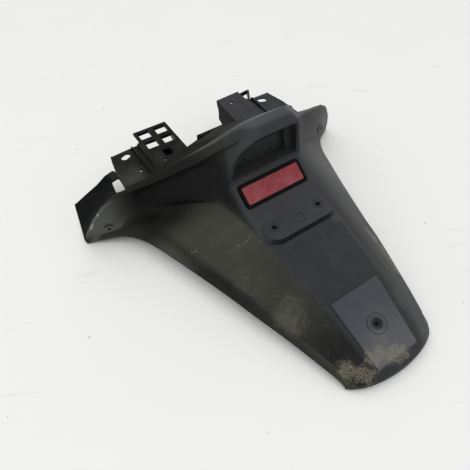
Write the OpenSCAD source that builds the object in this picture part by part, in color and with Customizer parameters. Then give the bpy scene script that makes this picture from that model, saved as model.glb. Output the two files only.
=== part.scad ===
// Rear fender of a motor scooter: a black moulded plate carrier with a red reflector.
// It lies on its back as it rests on the ground, on the flap tip and the wing ends, outer face up.
// X runs to the wings, Y from the flap tip to the brackets, Z up.

/* [Moulding] */
// Distance over the wing tips
wing_span = 484; // [464:2:504]
// How far the wing tips sit behind the reflector's lower edge
wing_back = 150; // [140:1:160]
// Length of the flap, from the reflector's lower edge to the tip
flap_len = 261; // [250:1:275]
// Width of the flap at its tip
tip_w = 148; // [136:2:160]
// Width of the flap beside the plate bar
flap_w = 250; // [236:2:264]
// Height of the reflector's lower edge above the ground
lift = 100; // [94:1:106]
// Wall of the moulding
wall = 3; // [2.4:0.1:3.6]
// Height of the rolled edge along the tip
edge_h = 13; // [11:0.5:15]

/* [Tower and hood] */
// Width of the tower that carries the reflector
tower_w = 116; // [112:1:122]
// Height of the hood's crest over the reflector's lower edge
hood_h = 115; // [108:1:122]
// Width of the mouth of the lamp recess
mouth_w = 66; // [60:1:68]
// Height of the mouth of the lamp recess
mouth_h = 58; // [50:1:62]
// Distance between the two lamp screws
lamp_pitch = 43; // [36:1:48]
// Bore of a lamp screw
lamp_bore = 4.2; // [3:0.2:5]

/* [Plate bar and holes] */
// Distance between the two holes of the plate bar
plate_pitch = 75; // [60:1:80]
// Bore of the plate bar's holes
plate_bore = 8; // [7:0.5:9]
// Width of the plate bar
bar_w = 34; // [30:1:38]
// Height of the plate bar over the panel
bar_h = 12; // [8:0.5:13]
// Bore of the lower plate hole
low_bore = 7; // [5:0.5:9]
// Diameter of the seat around the lower plate hole
low_seat = 25; // [20:1:28]
// Bore of the screw hole in each wing
wing_bore = 5.5; // [4:0.5:7]

/* [Reflector] */
// Width of the red lens
lens_w = 94; // [84:1:98]
// Height of the red lens
lens_h = 25; // [22:1:27]
// Thickness of the red lens
lens_t = 5; // [4:0.5:7]
// Border of the base around the lens
bezel_rim = 4.5; // [3.5:0.5:5]
// Diameter of the stud
stud_d = 5; // [4:0.5:6]

/* [Brackets] */
// Wall of the brackets
plate_t = 3; // [2.4:0.2:3.6]
// Side of a window in the left bracket
window_w = 17; // [14:0.5:18]
// Width of the slot in the outer bracket
slot_w = 11.5; // [10:0.5:13]
// Length of the slot in the outer bracket
slot_len = 16; // [14:0.5:18]

/* [Hidden] */
$fn = 40;

black = "#26272a";
red = "#a8232b";

// Origin of the design: the middle of the reflector's lower edge, this far ahead of the part's own origin.
fore = 9.25;
// How far the ground cut reaches past the part.
margin = 50;

function mix(a, b, t) = a + (b - a) * t;
function unit(v) = v / norm(v);
// A point on a polyline, and on a smooth curve, through pts; t counts the points.
function bent(pts, t) =
    let (k = min(len(pts) - 2, max(0, floor(t)))) mix(pts[k], pts[k + 1], t - k);
function curve(pts, t) =
    let (n = len(pts) - 1, k = min(n - 1, max(0, floor(t))), f = t - k,
         a = pts[max(0, k - 1)], b = pts[k], c = pts[k + 1], d = pts[min(n, k + 2)])
    0.5 * (2 * b + (c - a) * f + (2 * a - 5 * b + 4 * c - d) * f * f
           + (3 * b - a - 3 * c + d) * f * f * f);

xw = wing_span / 2;
yw = wing_back;
xt = tip_w / 2;
xb = flap_w / 2;
yt = -flap_len;
zg = -lift;
xs = tower_w / 2;
bar_y = -47.5;
// Where the deck ends and the brackets begin.
deck_y = 164;

// Lines that run from the flap tip to the tower's foot, one point for each station of the flap.
rim_line = [
    [xt + 1.5, yt + 26, zg + 8], [xt + 5, yt + 40, zg + 11.5],
    [mix(xt, xb, 0.43), mix(yt, -63, 0.51), zg + 18], [mix(xt, xb, 0.76), mix(yt, -63, 0.78), zg + 22.5],
    [xb, -63, zg + 24.5], [xb + 13, -20, zg + 25.5], [xb + 27, 24, zg + 26],
    [xw - 79, yw - 93, zg + 27], [xw - 65, yw - 58, zg + 25], [xw - 43, yw - 30, zg + 18.5], [xw - 1, yw, zg]];
skirt_in = [
    [10, -1, -9], [7, 2, -11], [6.5, 0, -14], [9, 0, -15.5], [11, -1, -16], [13, -2, -16],
    [16, -2, -14], [17, -3, -11], [19, -3, -8], [17, -4, -7.5], [6, 1, -10]];
foot_line = [
    [38, yt + 13, zg + 21], [39.5, yt + 27, zg + 27], [45, yt + 96, -44.5], [48, -110, -30],
    [52, -66, -19.5], [xs + 1, -33, -19], [xs + 3, -8, -15.5], [xs + 3.5, 4, -9.5],
    [xs + 4, 12, -5], [xs + 4.5, 20, 1], [xs + 6, 33, 3]];
shoulder_line = [
    [34, yt + 12.5, zg + 21.3], [35.5, yt + 26.5, zg + 27.3], [41, yt + 96, -44], [43.5, -110, -29.3],
    [47, -66, -18.8], [xs - 4, -33, -12.5], [xs - 2, -8, -6.5], [xs - 1.5, 4, 0.3],
    [xs - 1, 12, 6], [xs - 0.5, 20, 12], [xs, 27.5, 17.5]];
spine_line = [
    [0, yt + 12, zg + 21.5], [0, yt + 26, zg + 27.5], [0, yt + 96, -43.5], [0, -110, -28.5],
    [0, -66, -18], [0, -33, -11.5], [0, -8, -5.5], [0, 4, 1.2],
    [0, 13, 7.8], [0, 22, 14.6], [0, 31, 21.4]];

// Lines that climb from there to the hood's crest.
hood_mid = [
    [0, 31, 21.4], [0, 33, 32], [0, 31, 52], [0, 26, hood_h - 43], [0, 17, hood_h - 28],
    [0, 12.5, hood_h - 19], [0, 18, hood_h - 8], [0, 27, hood_h]];
hood_side = [
    [xs, 27.5, 17.5], [xs + 2, 30, 27], [xs - 2, 29.5, 52], [xs - 9, 24.5, hood_h - 43], [xs - 17, 17, hood_h - 29],
    [xs - 23.5, 11.5, hood_h - 20.5], [xs - 26.5, 20, hood_h - 12], [xs - 30, 33, hood_h - 6]];
hood_foot = [
    [xs + 6, 33, 3], [xs + 8, 45, 18], [xs + 5, 50, 45], [xs - 2, 45, hood_h - 49], [xs - 11, 36, hood_h - 35],
    [xs - 18, 29, hood_h - 26], [xs - 21, 31, hood_h - 18], [xs - 24, 36.5, hood_h - 10]];
// Share of the flank's height at each station of those lines.
climb = [0, 0.17, 0.49, 0.73, 0.9, 1];

// Crease at the foot of the flank, crest above it and far edge of the deck, from the tower to the wing tip.
crease = [
    [xs + 6, 33, 3], [xs + 12, 48, -11], [xs + 24, 60, -19], [97, 78, -29], [115, 99, -41], [134, 118, -54],
    [151, 128, -64], [xw - 72, yw - 18, zg + 28.5], [xw - 51, yw - 20, zg + 23.5], [xw - 30, yw - 14, zg + 18],
    [xw - 7, yw - 1, zg + 10]];
crest = [
    [xs - 24, 36.5, hood_h - 10], [46, 45, hood_h - 20], [62, 58, hood_h - 35], [84, 77, 55], [106, 97, 31],
    [130, 118, 3], [150, 131, -11.5], [xw - 71, yw - 13, -17.5], [xw - 52, yw - 22, -9.5],
    [xw - 28, yw - 17.5, -28], [xw - 4, yw - 2, zg + 22]];
deck_edge = [
    [xs - 24, deck_y, -8], [48, deck_y, -11.5], [64, deck_y, -15.5], [86, deck_y - 1, -21],
    [104, deck_y - 2.5, -26], [128, deck_y - 4, -29], [144, deck_y + 30, -43], [xw - 86, yw + 80, zg + 44],
    [xw - 62, yw + 82, zg + 28], [xw - 38, yw + 86, zg + 13], [xw - 20, yw + 88, zg + 2]];
// The rolled lip below the crest: its run and its fall, and the share of them at each point.
lip_y = 10;
lip_z = 10;
lip_drop = [1, 1, 1, 1, 0.8, 0.5, 0.3, 0.3, 0.3, 0.3, 0.2];

// Height of the spine's first point over the ground.
tip_rise = 21.5;

// Half the grid: columns 0 to 26 run from the middle to the edge.
n_flat = 6;
n_wall = 8;
n_face = 24;
n_edge = 26;

// From the middle to the shoulder: flat over most of the width, then falling to the side.
function spread(a, s, t) = let (w = pow(t, 4)) [mix(a[0], s[0], t), mix(a[1], s[1], w), mix(a[2], s[2], w)];

function across(a, s, f, k, e, j) =
    j <= n_flat ? spread(a, s, j / n_flat)
    : j <= n_wall ? mix(s, f, (j - n_flat) / (n_wall - n_flat))
    : j >= n_face ? mix(k, e, (j - n_face) / (n_edge - n_face))
    : mix(f, k, (j - n_wall) / (n_face - n_wall));

function face_u(j) = min(1, max(0, (j - n_wall) / (n_face - n_wall)));

// The bulge that turns the face's straight rows into the crease towards the tower's foot.
function fan(v, j) =
    let (u = face_u(j), w = max(0, (v - 6) / 4))
    (j <= n_wall || j >= n_face) ? [0, 0, 0]
    : (curve(crease, u * 10) - mix(crease[0], crease[10], u)) * w * w * (3 - 2 * w);

function flap_at(v, j) =
    let (e = curve(rim_line, v), k = e - curve(skirt_in, v))
    across(bent(spine_line, v), bent(shoulder_line, v), bent(foot_line, v), k, e, j) + fan(v, j);

// The rolled edge along the tip: o is how far in, h how far up, both on the middle line.
function tip_at(o, h, j) =
    let (p = flap_at(0, j), up = h / tip_rise, x = p[0] * mix(0.97, 1, up), bow = yt - 1.5 + 0.0028 * x * x + 5 * pow(x / 71, 8))
    [x, mix(bow, p[1], o / 12), mix(zg, p[2], up)];

function flank_at(s, j) =
    let (u = face_u(j), c = curve(crease, u * 10), r = curve(crest, u * 10),
         i = r - [0, lip_y, lip_z] * bent(lip_drop, u * 10),
         base = s <= 5 ? mix(c, i, bent(climb, s)) : mix(i, r, (s - 5) / 2),
         c0 = crease[0], r0 = crest[0], i0 = r0 - [0, lip_y, lip_z],
         base0 = s <= 5 ? mix(c0, i0, bent(climb, s)) : mix(i0, r0, (s - 5) / 2),
         hollow = s < 5 ? [0, 7 * sin(36 * s) * (1 - pow(u, 3)), 0] : [0, 0, 0],
         hollow0 = s < 5 ? [0, 7 * sin(36 * s), 0] : [0, 0, 0],
         k_end = rim_line[10] - skirt_in[10], tip_top = [xw + 1, yw + 1.5, zg + 8])
    j <= n_flat ? spread(bent(hood_mid, s), bent(hood_side, s), j / n_flat)
    : j <= n_wall ? mix(bent(hood_side, s), curve(hood_foot, s), (j - n_flat) / (n_wall - n_flat))
    : j <= n_face ? base + hollow + (curve(hood_foot, s) - base0 - hollow0) * pow(1 - u, 4)
    : mix(base, mix(rim_line[10], tip_top, s / 7), (j - n_face) / (n_edge - n_face));

function deck_at(q, j) =
    let (u = face_u(j), top = flank_at(7, j),
         far = j <= n_wall ? [top[0], deck_y, 2 - 10 * j / n_wall]
             : j <= n_face ? curve(deck_edge, u * 10)
             : mix(deck_edge[10], [xw - 16, yw + 89, zg], (j - n_face) / (n_edge - n_face)),
         sag = min(1, max(0, (u - 0.45) / 0.15)))
    mix(top, far, q) - [0, 0, sag * (top[2] - far[2]) * q * (1 - q)];

tip_rows = [[4.5, 0], [1.3, edge_h - 9], [0, edge_h - 4], [1.5, edge_h + 1], [6, edge_h + 5.5]];
flap_rows = concat([for (i = [0:5]) i / 2], [for (i = [9:29]) i / 3]);
flank_rows = concat([for (i = [0:9]) i / 2], [5, 5.7, 6.4]);
deck_rows = [0, 0.08, 0.3, 0.55, 0.8, 1];

half_grid = concat(
    [for (t = tip_rows) [for (j = [0:n_edge]) tip_at(t[0], t[1], j)]],
    [for (v = flap_rows) [for (j = [0:n_edge]) flap_at(v, j)]],
    [for (s = flank_rows) [for (j = [0:n_edge]) flank_at(s, j)]],
    [for (q = deck_rows) [for (j = [0:n_edge]) deck_at(q, j)]]);

// The valley between flap and flank is rounded by averaging its rows, three times over.
valley = len(tip_rows) + len(flap_rows);
function soften(g, reach) = [for (i = [0:len(g) - 1]) [for (j = [0:n_edge])
    abs(i - valley) > reach || j <= n_wall || j == n_edge ? g[i][j]
    : (g[i - 1][j] + 2 * g[i][j] + g[i + 1][j]) / 4]];
soft_half = soften(soften(soften(half_grid, 1), 2), 2);

grid = [for (row = soft_half) concat(
    [for (j = [n_edge:-1:1]) [-row[j][0], row[j][1], row[j][2]]], row)];

rows = len(grid);
cols = 2 * n_edge + 1;

function normal_at(i, j) =
    let (a = grid[i][max(0, j - 1)], b = grid[i][min(cols - 1, j + 1)],
         c = grid[max(0, i - 1)][j], d = grid[min(rows - 1, i + 1)][j])
    unit(cross(b - a, d - c));

inner = [for (i = [0:rows - 1]) [for (j = [0:cols - 1]) grid[i][j] - wall * normal_at(i, j)]];

// A closed skin between the outer and the inner grid.
module skin() {
    n = rows * cols;
    function at(i, j) = i * cols + j;
    outer_faces = [for (i = [0:rows - 2], j = [0:cols - 2], h = [0, 1])
        h == 0 ? [at(i, j), at(i + 1, j), at(i + 1, j + 1)] : [at(i, j), at(i + 1, j + 1), at(i, j + 1)]];
    inner_faces = [for (f = outer_faces) [f[2] + n, f[1] + n, f[0] + n]];
    ring = concat([for (j = [0:cols - 2]) at(0, j)], [for (i = [0:rows - 2]) at(i, cols - 1)],
        [for (j = [cols - 1:-1:1]) at(rows - 1, j)], [for (i = [rows - 1:-1:1]) at(i, 0)]);
    m = len(ring);
    wall_faces = [for (k = [0:m - 1], h = [0, 1]) let (a = ring[k], b = ring[(k + 1) % m])
        h == 0 ? [a, b, b + n] : [a, b + n, a + n]];
    polyhedron(concat([for (r = grid) each r], [for (r = inner) each r]),
        concat(outer_faces, inner_faces, wall_faces), convexity = 8);
}

// Everything below is placed from the middle of the reflector's lower edge.
lens_tilt = 35.5;
bezel_t = lens_t + 2;
pocket_gap = 1.2;
// Frame of the lens: its centre, on its front face.
module at_lens() {
    rotate([lens_tilt, 0, 0]) translate([0, lens_h / 2, 0]) children();
}

module rounded_plate(w, h, r, t) {
    linear_extrude(t) union() {
        square([w - 2 * r, h], center = true);
        square([w, h - 2 * r], center = true);
        for (x = [-1, 1], y = [-1, 1]) translate([x * (w / 2 - r), y * (h / 2 - r)]) circle(r);
    }
}

bezel_w = lens_w + 2 * bezel_rim;
bezel_h = lens_h + 2 * bezel_rim;
pocket_w = bezel_w + 2 * pocket_gap;
pocket_h = bezel_h + 2 * pocket_gap;
tray_z = -bezel_t;

module pocket_tray() {
    at_lens() translate([0, 0, tray_z - wall])
        rounded_plate(pocket_w + 2 * wall, pocket_h + 2 * wall, 6 + wall, wall - tray_z - 3);
}

module pocket_cut() {
    at_lens() translate([0, 0, tray_z]) rounded_plate(pocket_w, pocket_h, 6, 40);
    at_lens() translate([0, 0, tray_z - 20]) cylinder(d = stud_d + 1, h = 30);
}

// Lamp recess: a tapered mouth under the hood, with a stepped back wall.
mouth_z = 21;
recess_y = 49;
module mouth_outline(grow) {
    polygon([[-mouth_w / 2 - 11 - grow, mouth_z - grow], [mouth_w / 2 + 11 + grow, mouth_z - grow],
        [mouth_w / 2 - 2 + grow, mouth_z + mouth_h + 14 + grow],
        [-mouth_w / 2 + 2 - grow, mouth_z + mouth_h + 14 + grow]]);
}
module recess_profile(grow, front) {
    top = mouth_z + mouth_h + 12;
    polygon(concat(
        front < 0 ? [[front, top], [front, mouth_z + 3]]
            : [[15.6, top + grow], [27.9, 72.1], [33.1, 51.9], [35.1, 32.3], [33.5, mouth_z + 0.1]],
        [[recess_y + grow, mouth_z + 4 - grow], [recess_y + grow, mouth_z + 33],
            [recess_y + 4 + grow, mouth_z + 34], [recess_y + 1 + grow, mouth_z + 54], [30, top + grow]]));
}
module recess(grow, front) {
    intersection() {
        translate([0, 70, 0]) rotate([90, 0, 0]) linear_extrude(100) mouth_outline(grow);
        rotate([90, 0, 90]) translate([0, 0, -80]) linear_extrude(160) recess_profile(grow, front);
    }
}
// Shallow wide part of the mouth, as wide as the tower's side walls leave it.
flare_y = 41;
module flare(grow, front) {
    side = [[xs - 3, mouth_z], [xs - 7, mouth_z + 31], [xs - 13, mouth_z + 51], [xs - 22, mouth_z + 65],
        [xs - 28, mouth_z + 71]];
    intersection() {
        translate([0, 70, 0]) rotate([90, 0, 0]) linear_extrude(100) polygon(concat(
            [for (p = side) [p[0] + grow, p[1] + (p == side[0] ? -grow : p == side[4] ? grow : 0)]],
            [for (i = [4:-1:0]) [-side[i][0] - grow, side[i][1] + (i == 0 ? -grow : i == 4 ? grow : 0)]]));
        rotate([90, 0, 90]) translate([0, 0, -80]) linear_extrude(160) polygon(concat(
            front < 0 ? [[front, 95], [front, mouth_z + 3]]
                : [[17.5, 95], [27.9, 72.1], [33.1, 51.9], [35.1, 32.3], [33.5, mouth_z + 0.1]],
            [[flare_y + grow, mouth_z + 3 - grow], [flare_y + grow, mouth_z + 38],
                [flare_y - 8 + grow, mouth_z + 64], [flare_y - 13 + grow, 95]]));
    }
}
module lamp_posts(d, h) {
    for (x = [-1, 1])
        translate([x * lamp_pitch / 2, recess_y + 7, mouth_z + 11]) rotate([90, 0, 0]) cylinder(d = d, h = h);
}

bar_z = -10;
bar_draft = 4;
// The two holes lie this far behind the bar's middle line.
hole_back = 5;
module plate_bar() {
    h = bar_h + 4;
    r = bar_w / 2;
    translate([0, bar_y, bar_z - h]) {
        rotate([90, 0, 90]) translate([0, 0, -plate_pitch / 2]) linear_extrude(plate_pitch)
            polygon([[-r - bar_draft, 0], [r + bar_draft, 0], [r, h], [-r, h]]);
        for (x = [-1, 1]) translate([x * plate_pitch / 2, 0, 0]) cylinder(r1 = r + bar_draft, r2 = r, h = h);
    }
}

// The lower hole lies on the spine's straight run, 28 mm up from its second point.
low_y = spine_line[1][1] + 28;
low_run = spine_line[2] - spine_line[1];
low_z = spine_line[1][2] + 28 * low_run[2] / low_run[1];
plate_slope = atan2(low_run[2], low_run[1]);
pad_top = 80;
pad_foot = 68;
module ring_groove(d, w) {
    difference() {
        cylinder(d = d, h = 10);
        translate([0, 0, -1]) cylinder(d = d - 2 * w, h = 12);
    }
}

module at_low_hole() {
    translate([0, low_y, low_z]) rotate([plate_slope, 0, 0]) children();
}

wing_hole = [xw - 35, yw - 18.5, zg + 31];
module at_wing_holes() {
    for (s = [-1, 1]) translate([s * wing_hole[0], wing_hole[1], wing_hole[2]])
        rotate([90, 0, s * 8]) children();
}

// Brackets behind the deck. Their rows lie askew, so each is drawn on lines that lean by row_lean.
row_lean = 0.255;
side_tilt = 11.8;
frame_x = 50;
frame_w = 53;
frame_y = 230;
frame_z = -4.4;
frame_d = 6;
window_h = 15.5;
// Where the round holes of the brackets lie.
block_hole = [73, 218];
small_hole = [86, deck_y + 0.5];
module askew(x0, x1, t0, t1) {
    polygon([for (p = [[x0, t0], [x1, t0], [x1, t1], [x0, t1]])
        [p[0], frame_y - frame_x * row_lean + p[0] * row_lean - p[1]]]);
}
module at_frame() {
    translate([frame_x, 0, frame_z]) rotate([0, side_tilt, 0]) translate([-frame_x, 0, 0])
        translate([0, frame_y, 0]) rotate([5, 0, 0]) translate([0, -frame_y, 0]) children();
}
module frame_block() {
    at_frame() translate([0, 0, -plate_t]) linear_extrude(plate_t)
        polygon([[frame_x, frame_y], [frame_x + frame_w, frame_y + row_lean * frame_w],
            [frame_x + frame_w, 222], [frame_x + frame_w + 3, 220],
            [frame_x + frame_w + 3, deck_y - 10], [frame_x, deck_y - 7]]);
    // Inner side wall, deep at the deck and rounded off at the far end
    at_frame() translate([frame_x, 0, 0]) rotate([90, 0, 90]) linear_extrude(plate_t)
        polygon([[frame_y, 0], [frame_y - 3, -6], [frame_y - 11, -14], [frame_y - 16, -26],
            [frame_y - 30, -30], [deck_y - 6, -30], [deck_y - 6, 0]]);
}
module outer_plate() {
    y0 = deck_y - 8;
    translate([0, 0, -24 - plate_t]) linear_extrude(plate_t)
        polygon([[103, y0], [103, 225], [152, 223], [159, 187], [161, 145], [140, 140]]);
    // Channel walls between the two plates, and the outer side wall
    for (x = [104, 115]) translate([x, 0, 0]) rotate([90, 0, 90]) linear_extrude(2)
        polygon([[y0, -30], [y0, -22], [216, -17], [222, -19], [222, -30]]);
    translate([0, 0, -36]) linear_extrude(12.5)
        polygon([[149.5, 223], [152, 223], [159, 187], [161, 145], [158.5, 145], [156.5, 187]]);
}
module frame_windows() {
    at_frame() translate([0, 0, -40]) linear_extrude(60)
        for (i = [0, 1], k = [0, 1])
            askew(55 + 26 * i, 55 + window_w + 26 * i, 5 + 23.3 * k, 5 + window_h + 23.3 * k);
}
module frame_walls() {
    at_frame() translate([0, 0, -frame_d]) linear_extrude(frame_d) difference() {
        askew(frame_x, frame_x + frame_w, 0, 47);
        for (i = [0, 1], k = [0, 1])
            askew(55 + 26 * i, 55 + window_w + 26 * i, 5 + 23.3 * k, 5 + window_h + 23.3 * k);
    }
    at_frame() for (i = [0, 1]) translate([0, 0, -frame_d]) linear_extrude(3)
        askew(55 + 26 * i + 12.5, 55 + 26 * i + 14.5, 4, 46);
}
// Open clip between the far edges of the right block and the right plate
module far_clip() {
    translate([0, 0, -25]) linear_extrude(7) difference() {
        polygon([[102, 234], [102, 241.5], [123, 243.5], [125, 241], [110.5, 217], [104.5, 217]]);
        polygon([[105, 239], [120.5, 241], [109.5, 221.5], [105, 222.5]]);
    }
}
module bracket_slot() {
    translate([132, 211, -50]) rotate([0, 0, -24]) linear_extrude(60) union() {
        square([slot_len - slot_w, slot_w], center = true);
        for (x = [-1, 1]) translate([x * (slot_len - slot_w) / 2, 0]) circle(d = slot_w);
    }
}

module shell_solid() {
    skin();
    pocket_tray();
    recess(wall, 1);
    flare(wall, 1);
    plate_bar();
    lamp_posts(8, 8);
    at_low_hole() translate([0, 0, -5]) cylinder(d = low_seat, h = 6.2);
    at_wing_holes() translate([0, 0, -9]) cylinder(d = wing_bore + 8, h = 10);
    for (m = [0, 1]) mirror([m, 0, 0]) {
        frame_block();
        outer_plate();
    }
    mirror([1, 0, 0]) {
        frame_walls();
        // Small foot between the window bracket and the deck
        translate([36, 150, -26]) cube([17, 14, 14]);
        // Closed pocket below the square window
        at_frame() translate([0, 0, -17]) linear_extrude(17) askew(70, 86, 53, 71.5);
    }
    far_clip();
    // Slightly raised field around the lower plate hole
    at_low_hole() translate([0, 0, -2]) linear_extrude(2.8)
        polygon([[-pad_top / 2, 50], [pad_top / 2, 50], [pad_foot / 2, -45], [-pad_foot / 2, -45]]);
    // Ribs along the deck's far edge
    for (y = [-3, -9]) translate([-30, deck_y + y, -14]) cube([60, 2, 16 - y / 3]);
}

module shell_cuts() {
    pocket_cut();
    recess(0, -20);
    flare(0, -20);
    lamp_posts(lamp_bore, 40);
    for (x = [-1, 1]) translate([x * plate_pitch / 2, bar_y + hole_back, bar_z - 60]) cylinder(d = plate_bore, h = 80);
    // Shallow rings: one around each hole and a wide one with a dot between them
    for (x = [-1, 1]) translate([x * plate_pitch / 2, bar_y + hole_back, bar_z - 0.7])
        ring_groove(plate_bore + 7, 1.5);
    translate([0, bar_y, bar_z - 0.7]) ring_groove(17, 1.6);
    translate([0, bar_y, bar_z - 0.7]) cylinder(d = 2, h = 10);
    at_low_hole() {
        translate([0, 0, -20]) cylinder(d = low_bore, h = 40);
        translate([0, 0, -1]) cylinder(d = low_bore + 7, h = 10);
        translate([0, 0, -0.2]) ring_groove(low_seat + 3, 1.2);
    }
    at_wing_holes() translate([0, 0, -30]) cylinder(d = wing_bore, h = 60);
    for (m = [0, 1]) mirror([m, 0, 0]) {
        bracket_slot();
        translate([127, 170, -60]) cylinder(d = 5, h = 60);
        // Gap between the outer plate and the wing's deck
        translate([0, 0, -36]) linear_extrude(26)
            polygon([[161.5, 149], [159.3, 181], [167.5, 185], [174.5, 153.5], [172, 149]]);
        translate([0, 0, -70]) linear_extrude(34)
            polygon([[158, 150], [150.5, 200], [164.5, 208], [174.5, 160], [174.5, 153.5], [172, 149]]);
    }
    mirror([1, 0, 0]) {
        frame_windows();
        at_frame() translate([0, 0, -14]) linear_extrude(60) askew(72, 84, 56, 69.5);
        translate([small_hole[0], small_hole[1], -60]) cylinder(d = 5, h = 60);
    }
    // Slots in the deck
    for (m = [0, 1]) mirror([m, 0, 0]) translate([12, deck_y - 17, -30]) cube([22, 8, 60]);
    at_frame() translate([block_hole[0], block_hole[1], -20]) cylinder(d = 6.5, h = 40);
}

module fender_shell() {
    color(black) translate([0, fore, lift]) difference() {
        shell_solid();
        shell_cuts();
        // Flat where it stands on the ground
        translate([-xw - margin, yt - margin, zg - margin])
            cube([wing_span + 2 * margin, 2 * flap_len + 2 * margin, margin]);
    }
}

module reflector_bezel() {
    color("#16171a") translate([0, fore, lift]) {
        difference() {
            at_lens() translate([0, 0, -bezel_t]) rounded_plate(bezel_w, bezel_h, 5, bezel_t - 0.4);
            at_lens() translate([0, 0, -lens_t]) rounded_plate(lens_w + 0.4, lens_h + 0.4, 2.2, lens_t + 5);
        }
        at_lens() translate([0, 0, tray_z - 14]) cylinder(d = stud_d, h = 14 + 1);
    }
}

module reflector_lens() {
    color(red) translate([0, fore, lift])
        at_lens() translate([0, 0, -lens_t]) rounded_plate(lens_w, lens_h, 2, lens_t);
}

module reflector_nut() {
    color("silver") translate([0, fore, lift]) at_lens() translate([0, 0, tray_z - wall - 5.5]) difference() {
        union() {
            cylinder(d = 8 / cos(30), h = 4.5, $fn = 6);
            translate([0, 0, 4.5]) cylinder(d = 12, h = 1);
        }
        translate([0, 0, -1]) cylinder(d = stud_d + 0.1, h = 10);
    }
}

fender_shell();
reflector_bezel();
reflector_lens();
reflector_nut();
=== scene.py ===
"""Looks of a scooter's rear fender: dusty black moulded plastic, a red reflector, a pale floor."""

import math

import bpy
from mathutils import Matrix, Vector


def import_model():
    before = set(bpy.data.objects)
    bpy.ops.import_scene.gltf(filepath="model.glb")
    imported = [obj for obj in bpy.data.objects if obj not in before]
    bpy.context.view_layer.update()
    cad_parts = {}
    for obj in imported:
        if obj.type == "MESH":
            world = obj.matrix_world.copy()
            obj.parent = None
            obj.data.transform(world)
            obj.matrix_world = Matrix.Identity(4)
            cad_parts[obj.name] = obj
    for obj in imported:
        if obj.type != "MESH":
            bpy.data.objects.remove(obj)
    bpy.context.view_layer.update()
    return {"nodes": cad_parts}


# Colours as they look on a screen, 0 to 255. First the shell's regions, painted shade and highlights among
# them.
BLACK = (16, 18, 16)
CREST_DUST = (44, 45, 42)
# Painted shade on the faces that look back, behind the crest.
CREST_BACK_SHADE = (30, 31, 31)
PANEL = (44, 46, 50)
TOWER = (56, 57, 60)
# Painted shade along the fold of the left flap.
CREASE_SHADE = (16, 18, 16)
OLIVE_TIP = (20, 21, 21)
OLIVE_MIDDLE = (46, 47, 43)
OLIVE_UPPER = (58, 58, 52)
RIM_LOW = (56, 55, 48)
RIM_HIGH = (28, 30, 26)
LEFT_WING = (46, 48, 45)
# Painted highlight on the left wing end's steep faces.
LEFT_WING_END_LIT = (88, 90, 86)
GREY_INNER = (40, 41, 41)
# Painted light on the right flap's rim and wing.
GREY_OUTER_LIT = (78, 79, 81)
RIGHT_WING_LIT = (98, 98, 100)
PAD_HIGH = (66, 69, 75)
PAD_LOW = (84, 86, 90)
# Painted sheen on the hood's top.
HOOD_SHEEN = (76, 78, 83)
RECESS = (52, 54, 54)
SEAT = (36, 37, 39)
# Painted shade on the bar's steep front.
BAR_SIDE_SHADE = (28, 29, 33)
# The left brackets' black, also painted shade on every bracket's steep faces.
BRACKET_BLACK_AND_SHADE = (3, 5, 4)
PLATE_LEFT = (46, 48, 47)
BRACKET_RIGHT = (50, 51, 56)
# Near black: painted dark reflection on the glossy left side panel.
SIDE_PANEL = (3, 7, 6)
# Black painted shade on a band of faces that look back, under the crest.
SHADE_BLACK = (0, 0, 0)
# What lies on the shell or has rubbed it, and painted highlights on its edges.
DUST = (150, 147, 134)
BEIGE = (146, 138, 120)
SCRATCH_AND_HIGHLIGHT = (120, 120, 112)
WING_HIGHLIGHT = (150, 152, 148)
# The reflector, its nut, and the floor.
BASE_BLACK, BASE_DUST = (3, 4, 5), (90, 88, 80)
LENS_HIGH, LENS_LOW, LENS_DUST = (166, 52, 60), (134, 42, 52), (156, 118, 116)
STEEL, RUST = (150, 150, 150), (96, 70, 50)
FLOOR_LOW, FLOOR_HIGH = (238, 237, 236), (241, 241, 240)
FLOOR_STAIN, FLOOR_SPECK = (222, 219, 213), (150, 148, 142)
BACKGROUND = (239, 239, 238)

# Where the shell's regions are, in metres. A pair gives the places where a mask is 0 and where it is 1,
# apart from a RUN or a BAND, which give both ends.
LEFT_HALF, RIGHT_HALF = (0.0, -0.02), (0.0, 0.01)
PANEL_EDGE, PANEL_SPREAD = 0.058, 0.092  # half the middle panel's width at y = 0, and its growth with y
LEFT_OF_PANEL, RIGHT_OF_PANEL = (0.0, 0.007), (0.0, 0.008)
PANEL_SIDES, PANEL_END = (0.062, 0.056), (0.06, 0.035)
TOWER_FOOT = (0.079, 0.083)
CREST_HEIGHT, CREST_DEPTH = (0.140, 0.175), (0.04, 0.06)
BACK_HEIGHT, BACK_DULL = (0.20, 0.17), (0.19, 0.16)
# Where the black band of painted shade lies: heights, softness and sides.
BACK_BAND, BACK_BAND_SOFT, BACK_SIDES = (0.100, 0.166), 0.012, (0.036, 0.054)
LEFT_WING_START, LEFT_WING_BACK = (-0.150, -0.205), (0.165, 0.150)
RIGHT_WING_START, RIGHT_FLAP_BACK = (0.10, 0.15), (0.20, 0.165)
RIGHT_WIDTH, RIGHT_SPREAD = 0.06, 0.16
RIM_SIDE, RIM_BACK = (-0.02, -0.05), (0.07, 0.03)
CREASE_START, CREASE_SLOPE, CREASE_WIDTH = -0.1310, -0.232, 0.010
CREASE_RUN, CREASE_SOFT = (-0.20, 0.075), 0.03
BAR_FRONT, BAR_HEIGHT = (-0.045, -0.050), (0.078, 0.082)
PAD_EDGE, PAD_SPREAD, PAD_SOFT = 0.0503, 0.068, (0.0010, -0.0022)
PAD_RUN, PAD_ENDS_SOFT = (-0.2392, -0.1535), 0.0025
SEAT_CENTRE, SEAT_RADIUS = (0.0, -0.1966, 0.0385), 0.0085
HOOD_SLOPE, HOOD_RISE = 0.5, (0.218, 0.226)
HOOD_SIDES, HOOD_BACK = (0.060, 0.030), (0.075, 0.055)
RECESS_FRONT, RECESS_BACK, RECESS_SIDES = (0.0412, 0.0428), (0.066, 0.062), (0.058, 0.0555)
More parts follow.
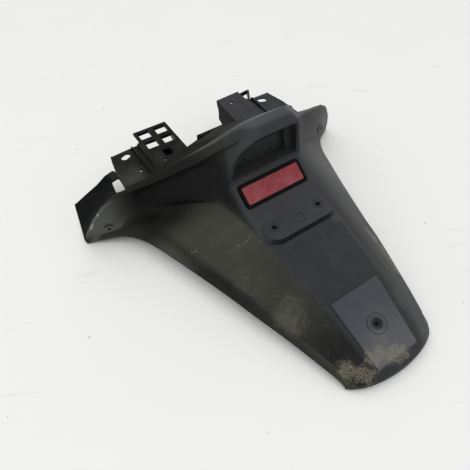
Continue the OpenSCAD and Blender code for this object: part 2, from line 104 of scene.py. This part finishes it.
RECESS_RUN, RECESS_SOFT = (0.119, 0.196), 0.001
PLATE_SIDES, PLATE_BACK = (0.120, 0.132), (0.21, 0.17)
BRACKETS_FRONT, BRACKETS_SIDES, BRACKETS_RIGHT = (0.157, 0.163), (0.166, 0.160), (-0.01, 0.04)
SIDE_PANELS_FRONT, SIDE_PANELS_START = (0.156, 0.162), (0.160, 0.165)
LEFT_TO_RIGHT, LEFT_PANEL = (-0.1, 0.1), (0.0, -0.1)
FLECKS_BELOW = (0.128, 0.112)
# How far faces look up or back, 0 to 1.
LOOKS_UP, LOOKS_BACK = (0.3, 0.82), (0.3, 0.5)
STEEP, UPRIGHT, WING_FLAT, BRACKET_FLAT = (0.75, 0.95), (0.6, 0.3), (0.2, 0.8), (0.25, 0.5)
# How much of each mark shows, 0 to 1.
CREASE_SHADE_SHARE, BRACKET_DUST, CLOUD_SHARE, FLECK_SHARE, HEAP_SHARE = 0.6, 0.03, 0.035, 0.07, 0.62
SCUFF_SHARE, SCRATCH_SHARE, WING_HIGHLIGHT_SHARE = 0.12, 0.5, 0.8
BASE_DUST_SHARE, LENS_DUST_SHARE, STAIN_SHARE, SPECK_SHARE = 0.02, 0.38, 0.6, 0.7
# The shell's roughness, and what lying dust adds to it: on faces that look up, in clouds and in heaps.
SATIN, UP_DULLS, CLOUDS_DULL, HEAPS_DULL = 0.42, 0.2, 0.1, 0.5
# Strength and depth of each bump, the depth in metres.
SHELL_BUMP, BASE_BUMP, LENS_BUMP, NUT_BUMP = (0.25, 0.0006), (0.15, 0.0004), (0.15, 0.0005), (0.2, 0.0003)
# Angle between faces, in degrees, over which an edge stays crisp.
SHELL_CRISP, SMALL_PIECE_CRISP = 28, 35

# Colours along y, in metres.
# The left flap's colour runs to black at its upper end, painted shade in the valley before the wing.
OLIVE_RUN = [(-0.20, OLIVE_TIP), (-0.12, OLIVE_MIDDLE), (0.0, OLIVE_UPPER), (0.05, OLIVE_UPPER),
             (0.10, BLACK)]
RIM_RUN = [(-0.18, RIM_LOW), (-0.02, RIM_HIGH)]
PAD_SHADES = [(-0.235, PAD_LOW), (-0.165, PAD_HIGH)]

# Marks on the shell, in metres. Streaks of settled beige dust: start, end and width.
DUST_STREAKS = [((-0.030, -0.226, 0.028), (0.008, -0.240, 0.024), 0.015),
                ((-0.064, -0.216, 0.022), (-0.048, -0.238, 0.019), 0.014),
                ((0.094, -0.085, 0.046), (0.087, -0.156, 0.031), 0.009)]
# Pale clouds of dust: centre, radius and how much shows.
PALE_SPOTS = [((-0.084, -0.130, 0.041), 0.020, 0.16), ((0.005, -0.183, 0.046), 0.012, 0.06),
              ((0.046, -0.063, 0.080), 0.008, 0.06), ((-0.075, -0.010, 0.072), 0.026, 0.04),
              ((0.048, -0.192, 0.043), 0.012, 0.06), ((-0.010, -0.212, 0.033), 0.012, 0.10),
              ((0.100, -0.050, 0.050), 0.022, 0.06), ((-0.090, 0.025, 0.069), 0.024, 0.04),
              ((-0.100, -0.060, 0.052), 0.020, 0.06)]
# The crest edge's painted highlight, the longer scratches and the wing end's painted highlight: start and
# end.
CREST_HIGHLIGHT = [((-0.112, 0.140, 0.104), (-0.093, 0.097, 0.145)),
              ((-0.093, 0.097, 0.145), (-0.063, 0.067, 0.178)),
              ((-0.063, 0.067, 0.178), (-0.040, 0.051, 0.198)),
              ((-0.040, 0.051, 0.198), (0.000, 0.037, 0.214))]
SCRATCHES = [((-0.130, 0.030, 0.043), (-0.123, 0.025, 0.047)),
             ((-0.122, 0.027, 0.047), (-0.115, 0.023, 0.052)),
             ((-0.083, -0.012, 0.068), (-0.072, -0.018, 0.074)),
             ((-0.072, -0.018, 0.074), (-0.061, -0.016, 0.081)),
             ((-0.100, 0.035, 0.059), (-0.090, 0.030, 0.065))]
WING_END_HIGHLIGHT = [((-0.2275, 0.1475, 0.046), (-0.2300, 0.1490, 0.037)),
             ((-0.2165, 0.1430, 0.0665), (-0.2160, 0.1430, 0.0650))]
CREST_HIGHLIGHT_WIDTH, SCRATCH_WIDTH, WING_HIGHLIGHT_WIDTH = 0.0034, 0.0011, 0.0034

# The camera's lens and place, in pixels and metres, and the light.
FOCAL, PICTURE, SENSOR = 460, 470, 36.0
CAMERA_AT = (-0.3020, -0.32465, 0.5529)
CAMERA_RIGHT = (0.8229, -0.5683, 0.0)
CAMERA_UP = (0.4407, 0.6382, 0.6314)
CAMERA_BACK = (-0.3588, -0.5196, 0.7755)
SKY_TOP = (-0.08, 0.16, 0.98)
SKY_LOW, SKY_HIGH = (0.28, 0.278, 0.272, 1), (1.23, 1.234, 1.24, 1)
LAMP_AT, LAMP_AIM, LAMP_SIZE, LAMP_POWER = (-0.9, -0.7, 2.6), (0.0, 0.0, 0.05), 1.6, 8
FLOOR_REACH = 4.0
WELD = 0.00002
LENS_LEAN = 35.5  # the reflector's tilt, in degrees

FLOAT, VECTOR = "NodeSocketFloat", "NodeSocketVector"


def link(tree, source, target):
    tree.links.new(source, target)


def put(tree, socket, value):
    """A value for a socket: another node's output, or a plain number or colour."""
    if hasattr(value, "links"):
        link(tree, value, socket)
    else:
        socket.default_value = value


def node(tree, kind, **values):
    """A shader node. An input goes by its label, with _ for a space, or by its place: i0, i1 and so on."""
    made = tree.nodes.new(kind)
    for name, value in values.items():
        if hasattr(made, name):
            setattr(made, name, value)
        elif name[1:].isdigit():
            put(tree, made.inputs[int(name[1:])], value)
        else:
            put(tree, made.inputs[name.replace("_", " ")], value)
    return made


def maths(tree, operation, a, b=0.0, clamp=False):
    return node(tree, "ShaderNodeMath", operation=operation, use_clamp=clamp, i0=a, i1=b).outputs[0]


def times(tree, *values):
    out = values[0]
    for value in values[1:]:
        out = maths(tree, "MULTIPLY", out, value)
    return out


def plus(tree, a, b, clamp=False):
    return maths(tree, "ADD", a, b, clamp)


def minus(tree, a, b):
    return maths(tree, "SUBTRACT", a, b)


def most(tree, *masks):
    out = masks[0]
    for mask in masks[1:]:
        out = maths(tree, "MAXIMUM", out, mask)
    return out


def fade(tree, value, start, end):
    """0 at start, 1 at end, smooth between them."""
    made = node(tree, "ShaderNodeMapRange", interpolation_type="SMOOTHSTEP", Value=value, From_Min=start,
                From_Max=end)
    return made.outputs["Result"]


def band(tree, value, low, high, soft):
    """1 between low and high, fading to 0 over soft on both sides."""
    return times(tree, fade(tree, value, low - soft, low), fade(tree, value, high + soft, high))


def blend(tree, base, top, share):
    made = tree.nodes.new("ShaderNodeMix")
    made.data_type, made.clamp_factor = "RGBA", True
    for socket, value in ((made.inputs[0], share), (made.inputs[6], base), (made.inputs[7], top)):
        put(tree, socket, value)
    return made.outputs[2]


def linear(colour):
    """A screen colour as the shader wants it."""

    def one(value):
        value /= 255
        return value / 12.92 if value <= 0.04045 else ((value + 0.055) / 1.055) ** 2.4

    return tuple(one(value) for value in colour) + (1.0,)


def tint(tree, base, colour, share):
    return blend(tree, base, linear(colour), share)


def along(tree, value, stops):
    """A colour that changes with a value; stops are (value, colour), in order."""
    first, last = stops[0][0], stops[-1][0]
    share = node(tree, "ShaderNodeMapRange", Value=value, From_Min=first, From_Max=last).outputs["Result"]
    made = node(tree, "ShaderNodeValToRGB", Fac=share)
    elements = made.color_ramp.elements
    made.color_ramp.interpolation = "EASE"
    elements[0].color, elements[1].color = linear(stops[0][1]), linear(stops[-1][1])
    for at, colour in stops[1:-1]:
        elements.new((at - first) / (last - first)).color = linear(colour)
    return made.outputs["Color"]


def noise(tree, where, scale, detail=3.0, roughness=0.55, distortion=0.0):
    made = node(tree, "ShaderNodeTexNoise", Vector=where, Scale=scale, Detail=detail, Roughness=roughness,
                Distortion=distortion)
    return made.outputs["Fac"]


def facing(tree, axis):
    """How far a face looks along an axis: 1 straight along it, -1 away from it."""
    normal = node(tree, "ShaderNodeNewGeometry").outputs["Normal"]
    return node(tree, "ShaderNodeSeparateXYZ", Vector=normal).outputs[axis]


def turned(tree, where, angle):
    return node(tree, "ShaderNodeVectorRotate", Vector=where, Angle=angle).outputs[0]


def stretched(tree, where, scale):
    made = node(tree, "ShaderNodeMapping", Vector=where)
    made.inputs["Scale"].default_value = scale
    return made.outputs[0]


def distance(tree, a, b):
    return node(tree, "ShaderNodeVectorMath", operation="DISTANCE", i0=a, i1=b).outputs["Value"]


def spot(tree, where, centre, radius, ragged=0.0):
    """1 at centre, fading to 0 around radius, both in metres; ragged moves its border."""
    gap = plus(tree, distance(tree, where, centre), times(tree, ragged, radius))
    return fade(tree, gap, 1.5 * radius, 0.5 * radius)


def stroke(tree, where, start, end, width, ragged=0.0):
    """1 on the line from start to end, 0 beyond width of it, in metres; ragged moves its border."""
    run = [b - a for a, b in zip(start, end)]
    length = math.sqrt(sum(v * v for v in run))
    way = [v / length for v in run]
    offset = node(tree, "ShaderNodeVectorMath", operation="SUBTRACT", i0=where, i1=start).outputs["Vector"]
    passed = node(tree, "ShaderNodeVectorMath", operation="DOT_PRODUCT", i0=offset, i1=way).outputs["Value"]
    held = node(tree, "ShaderNodeClamp", Value=passed, Min=0.0, Max=length).outputs[0]
    foot = node(tree, "ShaderNodeVectorMath", operation="SCALE", i0=way)
    link(tree, held, foot.inputs["Scale"])
    gap = plus(tree, distance(tree, offset, foot.outputs["Vector"]), times(tree, ragged, width))
    return fade(tree, gap, width, 0.3 * width)


def new_group(name, inputs, outputs):
    """A shader node group: inputs are (name, kind, value), outputs are (name, kind)."""
    tree = bpy.data.node_groups.new(name, "ShaderNodeTree")
    for label, kind, value in inputs:
        socket = tree.interface.new_socket(label, in_out="INPUT", socket_type=kind)
        if value is not None:
            socket.default_value = value
    for label, kind in outputs:
        tree.interface.new_socket(label, in_out="OUTPUT", socket_type=kind)
    return tree, tree.nodes.new("NodeGroupInput").outputs, tree.nodes.new("NodeGroupOutput").inputs


def place(tree, group, **values):
    return node(tree, "ShaderNodeGroup", node_tree=group, **values).outputs


def grain_group():
    """Height of a moulded surface: fine grain over slow waves."""
    inputs = [("Where", VECTOR, None), ("Fine", FLOAT, 900.0), ("Slow", FLOAT, 14.0)]
    tree, ins, outs = new_group("moulded_grain", inputs, [("Height", FLOAT)])
    fine = noise(tree, ins["Where"], ins["Fine"], 2.0)
    slow = noise(tree, ins["Where"], ins["Slow"], 2.0, 0.4)
    link(tree, plus(tree, times(tree, fine, 0.35), times(tree, slow, 0.65)), outs["Height"])
    return tree


def dust_group():
    """Settled dust: Clouds are soft and wide, Flecks are grains in patches, Up marks faces that look up."""
    inputs = [("Where", VECTOR, None), ("Scale", FLOAT, 9.0)]
    outputs = [("Clouds", FLOAT), ("Flecks", FLOAT), ("Up", FLOAT)]
    tree, ins, outs = new_group("settled_dust", inputs, outputs)
    wide = noise(tree, ins["Where"], ins["Scale"], 6.0, 0.6, 0.5)
    link(tree, fade(tree, wide, 0.34, 0.7), outs["Clouds"])
    grains = fade(tree, noise(tree, ins["Where"], 420.0, 3.0, 0.7), 0.48, 0.68)
    patches = fade(tree, noise(tree, ins["Where"], 30.0, 3.0, 0.6), 0.4, 0.7)
    link(tree, times(tree, grains, patches), outs["Flecks"])
    link(tree, fade(tree, facing(tree, "Z"), *LOOKS_UP), outs["Up"])
    return tree


def scuff_group():
    """Share of fine scratches: thin stretched streaks, in patches."""
    inputs = [("Where", VECTOR, None), ("Turn", FLOAT, 0.6), ("Patches", FLOAT, 17.0)]
    tree, ins, outs = new_group("fine_scuffs", inputs, [("Share", FLOAT)])
    thin = stretched(tree, turned(tree, ins["Where"], ins["Turn"]), (26, 620, 300))
    lines = fade(tree, noise(tree, thin, 1.0, 3.0, 0.7, 0.3), 0.62, 0.76)
    patches = fade(tree, noise(tree, ins["Where"], ins["Patches"], 2.0), 0.48, 0.66)
    link(tree, times(tree, lines, patches), outs["Share"])
    return tree


def new_material(name, **principled):
    """A material with its shader: returns it, its tree, the shader and the place on the object."""
    made = bpy.data.materials.new(name)
    made.use_nodes = True
    tree = made.node_tree
    tree.nodes.clear()
    shader = node(tree, "ShaderNodeBsdfPrincipled", **principled)
    out = node(tree, "ShaderNodeOutputMaterial")
    link(tree, shader.outputs[0], out.inputs[0])
    where = node(tree, "ShaderNodeTexCoord").outputs["Object"]
    return made, tree, shader, where


def finish(tree, shader, colour, rough):
    link(tree, colour, shader.inputs["Base Color"])
    link(tree, rough, shader.inputs["Roughness"])


def bump(tree, shader, height, strength, depth):
    made = node(tree, "ShaderNodeBump", Height=height, Strength=strength, Distance=depth)
    link(tree, made.outputs[0], shader.inputs["Normal"])


def beyond_panel(tree, side, y):
    """How far a place is outside the middle panel's edge, which spreads towards the tower, in metres."""
    return minus(tree, side, plus(tree, times(tree, y, PANEL_SPREAD), PANEL_EDGE))


def crest_and_middle(tree, y, z, side, back, lower, middle):
    """The dusty crest, painted shade on its back and a black band of painted shade lower down, then the flat
    plate panel and the tower.
    """
    crest = times(tree, fade(tree, z, *CREST_HEIGHT), fade(tree, y, *CREST_DEPTH))
    colour = blend(tree, linear(BLACK), linear(CREST_DUST), crest)
    colour = tint(tree, colour, CREST_BACK_SHADE, times(tree, back, fade(tree, z, *BACK_HEIGHT)))
    colour = tint(tree, colour, SHADE_BLACK, lower)
    plates = blend(tree, linear(PANEL), linear(TOWER), fade(tree, z, *TOWER_FOOT))
    return blend(tree, colour, plates, middle)


def left_flap(tree, base, x, y, flat):
    """Olive dust, darker towards the tip and lighter beside the tower, with painted shade in the valley
    before the wing and a painted highlight on the wing end's steep faces.
    """
    colour = blend(tree, base, along(tree, y, OLIVE_RUN), flat)
    wing = times(tree, fade(tree, x, *LEFT_WING_START), fade(tree, y, *LEFT_WING_BACK))
    end = blend(tree, linear(LEFT_WING_END_LIT), linear(LEFT_WING), fade(tree, flat, *WING_FLAT))
    return blend(tree, colour, end, wing)


def rolled_rim(tree, base, x, y, steep):
    """The left flap's turned-down edge: olive near the tip, dark near the wing."""
    share = times(tree, steep, fade(tree, x, *RIM_SIDE), fade(tree, y, *RIM_BACK))
    return blend(tree, base, along(tree, y, RIM_RUN), share)


def crease_shade(tree, base, x, y):
    """Painted shade: the dark line along the fold just inside the left flap's rolled edge."""
    run = plus(tree, times(tree, y, CREASE_SLOPE), CREASE_START)
    away = maths(tree, "ABSOLUTE", minus(tree, x, run))
    line = times(tree, fade(tree, away, CREASE_WIDTH, 0.0), band(tree, y, *CREASE_RUN, CREASE_SOFT))
    return tint(tree, base, CREASE_SHADE, times(tree, line, CREASE_SHADE_SHARE))


def right_flap(tree, base, x, y, outside):
    """Grey dust, with painted light: lighter towards the rim and over the wing, which face the light at the
    right.
    """
    width = plus(tree, times(tree, y, RIGHT_SPREAD), RIGHT_WIDTH)
    out = maths(tree, "DIVIDE", outside, width, clamp=True)
    grey = along(tree, out, [(0.0, GREY_INNER), (1.0, GREY_OUTER_LIT)])
    grey = tint(tree, grey, RIGHT_WING_LIT, fade(tree, x, *RIGHT_WING_START))
    share = times(tree, fade(tree, outside, *RIGHT_OF_PANEL), fade(tree, y, *RIGHT_FLAP_BACK))
    return blend(tree, base, grey, share)


def plate_bar(tree, base, y, z, up, middle):
    """Painted shade on the steep front of the bar that carries the plate's upper edge."""
    front = times(tree, middle, fade(tree, up, *UPRIGHT), fade(tree, y, *BAR_FRONT),
                  fade(tree, z, *BAR_HEIGHT))
    return tint(tree, base, BAR_SIDE_SHADE, front)


def raised_pad(tree, base, where, side, y):
    """The raised field near the tip, with the dark seat of the lower hole."""
    half = plus(tree, times(tree, y, PAD_SPREAD), PAD_EDGE)
    pad = times(tree, fade(tree, minus(tree, side, half), *PAD_SOFT), band(tree, y, *PAD_RUN, PAD_ENDS_SOFT))
    colour = blend(tree, base, along(tree, y, PAD_SHADES), pad)
    return tint(tree, colour, SEAT, spot(tree, where, SEAT_CENTRE, SEAT_RADIUS))


def hood_and_recess(tree, base, y, z, side):
    """The hood's top with a painted bluish sheen, and the lamp recess under it."""
    rise = plus(tree, z, times(tree, y, HOOD_SLOPE))
    hood = times(tree, fade(tree, rise, *HOOD_RISE), fade(tree, side, *HOOD_SIDES),
                 fade(tree, y, *HOOD_BACK))
    colour = tint(tree, base, HOOD_SHEEN, hood)
    inside = times(tree, fade(tree, y, *RECESS_FRONT), fade(tree, y, *RECESS_BACK),
                   band(tree, z, *RECESS_RUN, RECESS_SOFT), fade(tree, side, *RECESS_SIDES))
    return tint(tree, colour, RECESS, inside)


def rear_brackets(tree, base, x, y, side, fine):
    """Clean black brackets at the left, greyer ones at the right, with dust on the plates beside them; all
    steep bracket faces get painted shade in the same black.
    """
    plates = times(tree, fade(tree, side, *PLATE_SIDES), fade(tree, y, *PLATE_BACK))
    left = blend(tree, linear(BRACKET_BLACK_AND_SHADE), linear(PLATE_LEFT), plates)
    colour = tint(tree, left, BRACKET_RIGHT, fade(tree, x, *BRACKETS_RIGHT))
    # Painted shade: steep bracket faces turn black.
    colour = blend(tree, linear(BRACKET_BLACK_AND_SHADE), colour, fade(tree, facing(tree, "Z"), *BRACKET_FLAT))
    colour = tint(tree, colour, DUST, times(tree, fine, BRACKET_DUST))
    share = times(tree, fade(tree, y, *BRACKETS_FRONT), fade(tree, side, *BRACKETS_SIDES))
    return blend(tree, base, colour, share)


def side_panels(tree, base, x, panels):
    """The panels behind the wings: near black at the left, a painted dark reflection of the glossy panel,
    and grey at the right.
    """
    colour = blend(tree, linear(SIDE_PANEL), linear(GREY_INNER), fade(tree, x, *LEFT_TO_RIGHT))
    return blend(tree, base, colour, panels)


def dust_heaps(tree, where, ragged):
    """Mask of the streaks of beige dust, thick in some grains and thin between them."""
    grains = fade(tree, noise(tree, where, 520.0, 3.0, 0.7), 0.4, 0.62)
    beige = most(tree, *[stroke(tree, where, *streak, ragged) for streak in DUST_STREAKS])
    return times(tree, beige, plus(tree, times(tree, grains, 0.75), 0.25))


def pale_clouds(tree, base, where, ragged, fine):
    spots = [times(tree, spot(tree, where, at, radius, ragged), share) for at, radius, share in PALE_SPOTS]
    share = times(tree, most(tree, *spots), plus(tree, times(tree, fine, 0.8), 0.4))
    return tint(tree, base, DUST, share)


def scuffs_and_highlights(tree, base, where, scuffs, fine):
    """A painted highlight along the crest's edge, fine scuffs all over, the longer scratches and a painted
    highlight on the wing end.
    """
    edge = most(tree, *[stroke(tree, where, a, b, CREST_HIGHLIGHT_WIDTH) for a, b in CREST_HIGHLIGHT])
    colour = tint(tree, base, SCRATCH_AND_HIGHLIGHT, times(tree, edge, plus(tree, times(tree, fine, 0.3), 0.15)))
    scratched = most(tree, place(tree, scuffs, Where=where, Turn=0.55)["Share"],
                     place(tree, scuffs, Where=where, Turn=-0.9, Patches=23.0)["Share"])
    colour = tint(tree, colour, SCRATCH_AND_HIGHLIGHT, times(tree, scratched, SCUFF_SHARE))
    shaky = node(tree, "ShaderNodeTexNoise", Vector=where, Scale=160.0).outputs["Color"]
    wobble = blend(tree, where, shaky, 0.006)
    lines = most(tree, *[stroke(tree, wobble, a, b, SCRATCH_WIDTH) for a, b in SCRATCHES])
    colour = tint(tree, colour, SCRATCH_AND_HIGHLIGHT, times(tree, lines, SCRATCH_SHARE))
    wing_highlight = most(tree, *[stroke(tree, where, a, b, WING_HIGHLIGHT_WIDTH) for a, b in WING_END_HIGHLIGHT])
    return tint(tree, colour, WING_HIGHLIGHT, times(tree, wing_highlight, WING_HIGHLIGHT_SHARE))


def shell_roughness(tree, up, middle, clouds, heaps, dull):
    """Satin in the middle, duller where dust lies, dullest on the crest's back and the left side panel."""
    rough = plus(tree, SATIN, times(tree, up, minus(tree, 1.0, middle), UP_DULLS))
    rough = plus(tree, rough, times(tree, clouds, CLOUDS_DULL))
    return plus(tree, rough, times(tree, most(tree, heaps, dull), HEAPS_DULL), clamp=True)


def shell_plastic(groups):
    """Black moulded plastic, dusty and scuffed, with painted shade and highlights: olive at the left, bluish
    in the middle, grey elsewhere.
    """
    made, tree, shader, where = new_material("shell_plastic", Specular_IOR_Level=0.12)
    x, y, z = node(tree, "ShaderNodeSeparateXYZ", Vector=where).outputs
    side = maths(tree, "ABSOLUTE", x)
    outside = beyond_panel(tree, side, y)
    dust = place(tree, groups["dust"], Where=where, Scale=12.0)
    fine = place(tree, groups["dust"], Where=where, Scale=48.0)["Clouds"]
    clouds = plus(tree, times(tree, dust["Clouds"], 0.6), times(tree, fine, 0.4))
    up = dust["Up"]
    steep = minus(tree, 1.0, fade(tree, up, *STEEP))
    left = times(tree, fade(tree, x, *LEFT_HALF), fade(tree, outside, *LEFT_OF_PANEL))
    right = times(tree, outside, fade(tree, x, *RIGHT_HALF))
    middle = times(tree, fade(tree, side, *PANEL_SIDES), fade(tree, y, *PANEL_END))
    back = fade(tree, facing(tree, "Y"), *LOOKS_BACK)
    # Painted shade: a black band on faces that look back, under the crest.
    lower = times(tree, back, band(tree, z, *BACK_BAND, BACK_BAND_SOFT), fade(tree, side, *BACK_SIDES))
    panels = times(tree, fade(tree, y, *SIDE_PANELS_FRONT), fade(tree, side, *SIDE_PANELS_START))

    colour = crest_and_middle(tree, y, z, side, back, lower, middle)
    colour = left_flap(tree, colour, x, y, times(tree, left, up))
    colour = rolled_rim(tree, colour, x, y, times(tree, steep, left))
    colour = crease_shade(tree, colour, x, y)
    colour = right_flap(tree, colour, x, y, right)
    colour = plate_bar(tree, colour, y, z, up, middle)
    colour = raised_pad(tree, colour, where, side, y)
    colour = hood_and_recess(tree, colour, y, z, side)
    colour = rear_brackets(tree, colour, x, y, side, fine)
    colour = side_panels(tree, colour, x, panels)
    dusty = minus(tree, 1.0, most(tree, panels, lower))
    colour = tint(tree, colour, DUST, times(tree, clouds, up, dusty, CLOUD_SHARE))
    flecks = times(tree, dust["Flecks"], up, fade(tree, z, *FLECKS_BELOW), FLECK_SHARE)
    colour = tint(tree, colour, BEIGE, flecks)
    ragged = times(tree, minus(tree, noise(tree, where, 95.0, 5.0, 0.7), 0.5), 2.6)
    heaps = dust_heaps(tree, where, ragged)
    colour = tint(tree, colour, BEIGE, times(tree, heaps, HEAP_SHARE))
    colour = pale_clouds(tree, colour, where, ragged, fine)
    colour = scuffs_and_highlights(tree, colour, where, groups["scuffs"], fine)

    dull = most(tree, times(tree, panels, fade(tree, x, *LEFT_PANEL)),
                times(tree, back, fade(tree, z, *BACK_DULL)))
    finish(tree, shader, colour, shell_roughness(tree, up, middle, clouds, heaps, dull))
    height = plus(tree, place(tree, groups["grain"], Where=where)["Height"], heaps)
    bump(tree, shader, height, *SHELL_BUMP)
    return made


def bezel_plastic(groups):
    """The reflector's base: glossy black with a trace of dust."""
    made, tree, shader, where = new_material("bezel_plastic", Specular_IOR_Level=0.08)
    dust = times(tree, place(tree, groups["dust"], Where=where, Scale=30.0)["Clouds"], BASE_DUST_SHARE)
    colour = blend(tree, linear(BASE_BLACK), linear(BASE_DUST), dust)
    finish(tree, shader, colour, plus(tree, 0.25, times(tree, dust, 0.5)))
    bump(tree, shader, place(tree, groups["grain"], Where=where)["Height"], *BASE_BUMP)
    return made


def lens_plastic(groups):
    """Red reflector plastic over small prisms."""
    made, tree, shader, where = new_material("lens_plastic", Specular_IOR_Level=0.3)
    flat = node(tree, "ShaderNodeVectorRotate", rotation_type="X_AXIS", Vector=where,
                Angle=-math.radians(LENS_LEAN))
    cells = node(tree, "ShaderNodeTexVoronoi", feature="F1", Vector=flat.outputs[0], Scale=330.0)
    prisms = cells.outputs["Distance"]
    dust = place(tree, groups["dust"], Where=where, Scale=22.0)["Clouds"]
    colour = blend(tree, linear(LENS_HIGH), linear(LENS_LOW), fade(tree, prisms, 0.2, 0.6))
    colour = tint(tree, colour, LENS_DUST, times(tree, dust, LENS_DUST_SHARE))
    finish(tree, shader, colour, plus(tree, 0.22, times(tree, dust, 0.4)))
    bump(tree, shader, prisms, *LENS_BUMP)
    return made


def nut_steel(groups):
    """The nut and washer behind the shell: plated steel with rust in places."""
    made, tree, shader, where = new_material("nut_steel")
    rust = fade(tree, noise(tree, where, 260.0, 4.0), 0.5, 0.7)
    colour = blend(tree, linear(STEEL), linear(RUST), rust)
    finish(tree, shader, colour, plus(tree, 0.3, times(tree, rust, 0.5)))
    link(tree, minus(tree, 0.95, times(tree, rust, 0.7)), shader.inputs["Metallic"])
    bump(tree, shader, place(tree, groups["grain"], Where=where)["Height"], *NUT_BUMP)
    return made


def floor_paint():
    """Off-white floor with faint stains and small dark specks."""
    made, tree, shader, where = new_material("floor_paint", Specular_IOR_Level=0.2, Roughness=0.6)
    waves = noise(tree, where, 5.0, 3.0)
    cells = node(tree, "ShaderNodeTexVoronoi", Vector=where, Scale=20.0)
    specks = fade(tree, cells.outputs["Distance"], 0.04, 0.015)
    streaks = stretched(tree, turned(tree, where, 0.5), (9, 70, 1))
    stains = times(tree, fade(tree, noise(tree, streaks, 1.0, 4.0, 0.6, 0.6), 0.60, 0.72),
                   fade(tree, noise(tree, where, 6.0, 2.0), 0.5, 0.65))
    colour = blend(tree, linear(FLOOR_LOW), linear(FLOOR_HIGH), waves)
    colour = tint(tree, colour, FLOOR_STAIN, times(tree, stains, STAIN_SHARE))
    colour = tint(tree, colour, FLOOR_SPECK, times(tree, specks, SPECK_SHARE))
    link(tree, colour, shader.inputs["Base Color"])
    return made


def dress(piece, material, crease_angle):
    """Gives a CAD node its material, and smooth shading up to an angle between its faces, in degrees."""
    mesh = piece.data
    mesh.materials.clear()
    mesh.materials.append(material)
    if "custom_normal" in mesh.attributes:
        mesh.attributes.remove(mesh.attributes["custom_normal"])
    mesh.shade_smooth()
    weld = piece.modifiers.new("weld", "WELD")
    weld.merge_threshold = WELD
    split = piece.modifiers.new("creases", "EDGE_SPLIT")
    split.split_angle = math.radians(crease_angle)


def make_floor():
    corners = [(x * FLOOR_REACH, y * FLOOR_REACH, 0) for x, y in ((-1, -1), (1, -1), (1, 1), (-1, 1))]
    mesh = bpy.data.meshes.new("floor")
    mesh.from_pydata(corners, [], [(0, 1, 2, 3)])
    mesh.materials.append(floor_paint())
    floor = bpy.data.objects.new("floor", mesh)
    bpy.context.collection.objects.link(floor)


def make_camera():
    """The photo's camera: above the left wing, looking down across the fender."""
    data = bpy.data.cameras.new("camera")
    data.lens, data.sensor_width = SENSOR * FOCAL / PICTURE, SENSOR
    data.clip_start, data.clip_end = 0.01, 20
    camera = bpy.data.objects.new("camera", data)
    rows = list(zip(CAMERA_RIGHT, CAMERA_UP, CAMERA_BACK, CAMERA_AT))
    camera.matrix_world = Matrix(rows + [(0, 0, 0, 1)])
    bpy.context.collection.objects.link(camera)
    bpy.context.scene.camera = camera


def make_lamp():
    """One wide soft lamp, above the left front."""
    data = bpy.data.lights.new("soft_lamp", "AREA")
    data.shape, data.size, data.energy = "DISK", LAMP_SIZE, LAMP_POWER
    lamp = bpy.data.objects.new("soft_lamp", data)
    turn = (Vector(LAMP_AT) - Vector(LAMP_AIM)).to_track_quat("Z", "Y").to_matrix().to_4x4()
    lamp.matrix_world = Matrix.Translation(LAMP_AT) @ turn
    bpy.context.collection.objects.link(lamp)


def make_sky():
    """An even pale sky, brightest overhead; what is seen or mirrored of it is the plain background."""
    world = bpy.data.worlds.new("studio")
    world.use_nodes = True
    tree = world.node_tree
    tree.nodes.clear()
    where = node(tree, "ShaderNodeTexCoord").outputs["Generated"]
    height = node(tree, "ShaderNodeVectorMath", operation="DOT_PRODUCT", i0=where, i1=SKY_TOP)
    colour = blend(tree, SKY_LOW, SKY_HIGH, fade(tree, height.outputs["Value"], 0.0, 1.0))
    path = node(tree, "ShaderNodeLightPath").outputs
    seen = most(tree, path["Is Camera Ray"], path["Is Glossy Ray"], path["Is Transmission Ray"])
    colour = tint(tree, colour, BACKGROUND, seen)
    shade = node(tree, "ShaderNodeBackground", Color=colour, Strength=1.0)
    out = node(tree, "ShaderNodeOutputWorld")
    link(tree, shade.outputs[0], out.inputs[0])
    bpy.context.scene.world = world


def main():
    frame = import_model()
    bpy.context.scene.view_settings.view_transform = "Standard"
    groups = {"grain": grain_group(), "dust": dust_group(), "scuffs": scuff_group()}
    pieces = frame["nodes"]
    dress(pieces["fender_shell"], shell_plastic(groups), SHELL_CRISP)
    dress(pieces["reflector_bezel"], bezel_plastic(groups), SMALL_PIECE_CRISP)
    dress(pieces["reflector_lens"], lens_plastic(groups), SMALL_PIECE_CRISP)
    dress(pieces["reflector_nut"], nut_steel(groups), SMALL_PIECE_CRISP)
    make_floor()
    make_camera()
    make_sky()
    make_lamp()


main()
